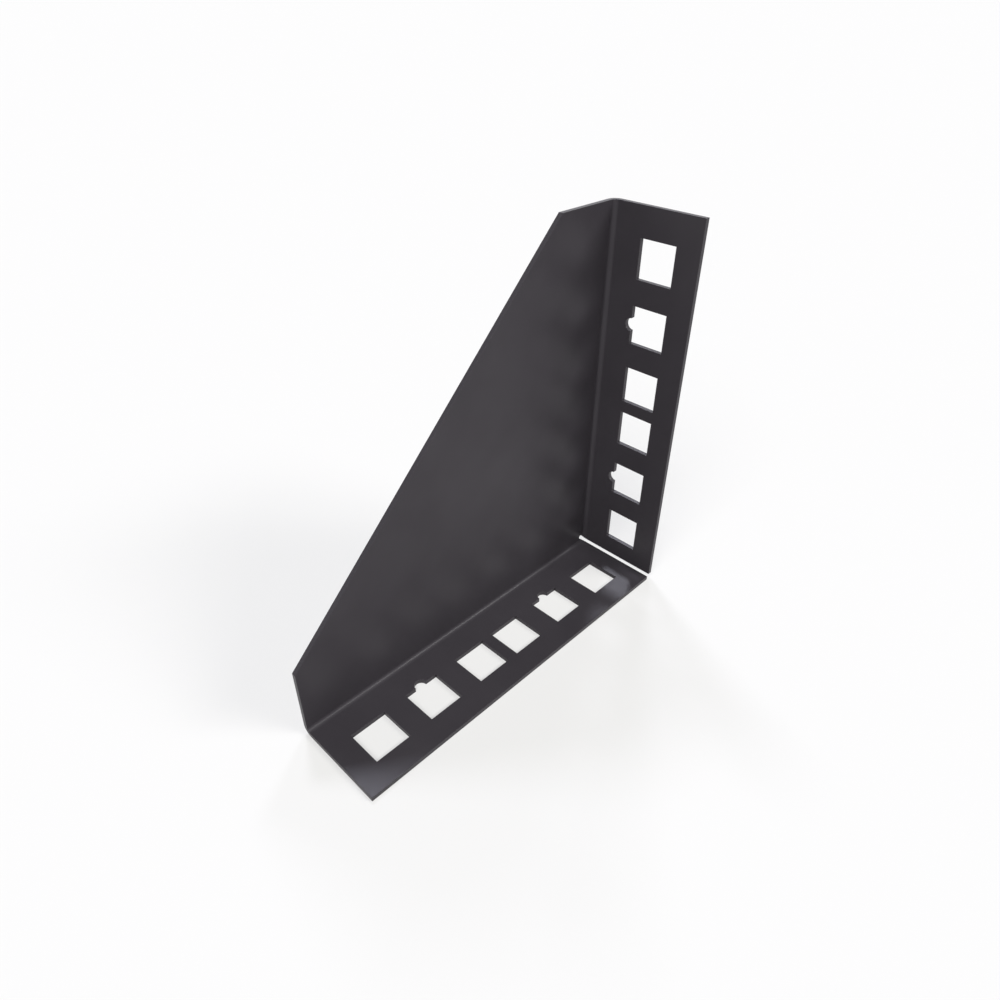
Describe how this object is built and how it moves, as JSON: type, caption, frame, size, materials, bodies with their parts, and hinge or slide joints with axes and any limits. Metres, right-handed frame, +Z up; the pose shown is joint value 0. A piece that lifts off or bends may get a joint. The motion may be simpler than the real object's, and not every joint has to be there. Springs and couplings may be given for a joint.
{
  "type": "wall mount rack bracket",
  "caption": "Folded sheet-steel wall bracket for rack equipment: a gusset web joins two flanges at a right angle, each with a row of square rack holes.",
  "frame": {"origin": "middle of the wall flange's row of holes, on the face that goes against the wall", "axes": "+Z up the wall, +Y into the wall so that the shelf flange runs out along -Y, +X from the web towards the free edges of the flanges"},
  "size_m": [0.025, 0.1, 0.1],
  "materials": {
    "powder_coated_steel": "black powder coat, semi-gloss, over folded sheet steel"
  },
  "bodies": {
    "root": {"bracket": "powder_coated_steel"}
  },
  "joints": []
}
